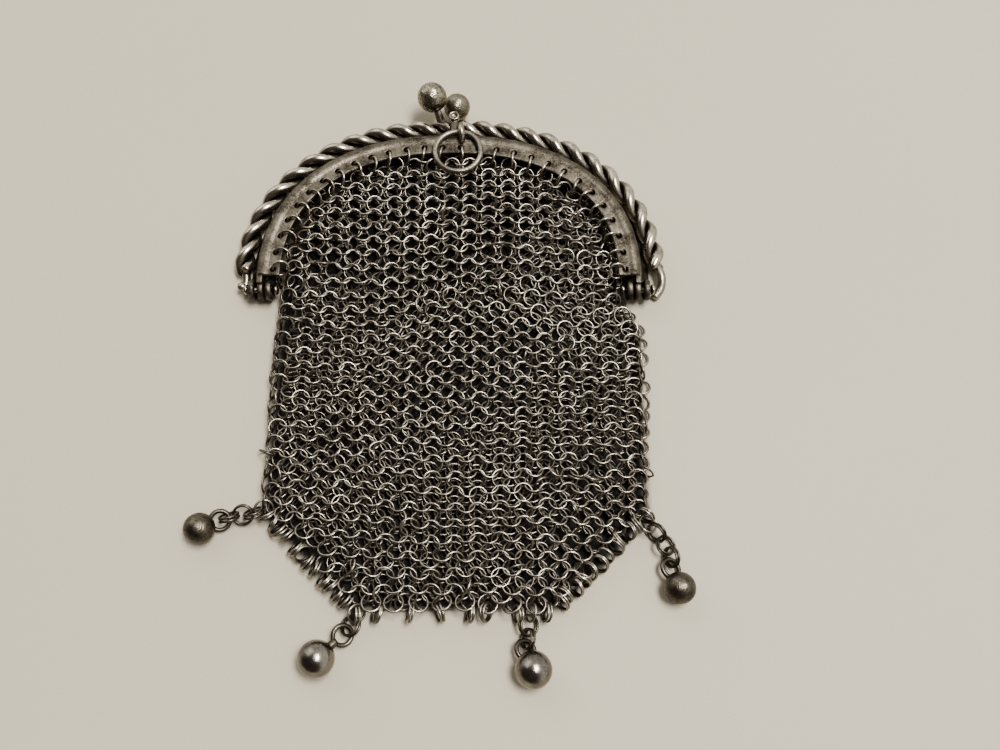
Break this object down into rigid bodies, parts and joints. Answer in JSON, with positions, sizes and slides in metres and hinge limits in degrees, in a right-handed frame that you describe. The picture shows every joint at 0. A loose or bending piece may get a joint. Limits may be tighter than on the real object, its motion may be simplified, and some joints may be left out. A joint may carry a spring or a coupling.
{
  "type": "metal mesh coin purse",
  "caption": "Small purse of linked metal rings on an arched hinged frame with a rope edge, a ball clasp, a hanging ring and ball drops, lying on its back.",
  "frame": {"origin": "under the middle of the purse's box, on the surface it lies on", "axes": "+X across the purse to its right as seen from the front, +Y from the bag up to the clasp, +Z out of the front, up from the table"},
  "size_m": [0.066, 0.0864, 0.0073],
  "materials": {
    "frame_silver": "worn, slightly tarnished silver",
    "wire_silver": "drawn silver wire, tarnished in the recesses",
    "mesh_silver": "darkened silver rings with bright worn crests",
    "ball_silver": "polished silver with brown tarnish and fine scratches"
  },
  "bodies": {
    "root": {"frame_front": "frame_silver", "frame_back": "frame_silver", "hinge_pin_left": "wire_silver", "hinge_pin_right": "wire_silver", "bail_ring": "wire_silver", "hanging_ring": "wire_silver", "mesh_bag": "mesh_silver", "drop_ball_left": "ball_silver", "drop_ball_bottom_left": "ball_silver", "drop_ball_bottom_right": "ball_silver", "drop_ball_right": "ball_silver", "jump_ring_left_1a": "wire_silver", "jump_ring_left_1b": "wire_silver", "jump_ring_left_2a": "wire_silver", "jump_ring_left_2b": "wire_silver", "jump_ring_left_3a": "wire_silver", "jump_ring_left_3b": "wire_silver", "jump_ring_bottom_left_1a": "wire_silver", "jump_ring_bottom_left_1b": "wire_silver", "jump_ring_bottom_right_1a": "wire_silver", "jump_ring_bottom_right_1b": "wire_silver", "jump_ring_bottom_right_2a": "wire_silver", "jump_ring_bottom_right_2b": "wire_silver", "jump_ring_right_1a": "wire_silver", "jump_ring_right_1b": "wire_silver", "jump_ring_right_2a": "wire_silver", "jump_ring_right_2b": "wire_silver", "jump_ring_right_3a": "wire_silver", "jump_ring_right_3b": "wire_silver"}
  },
  "joints": []
}
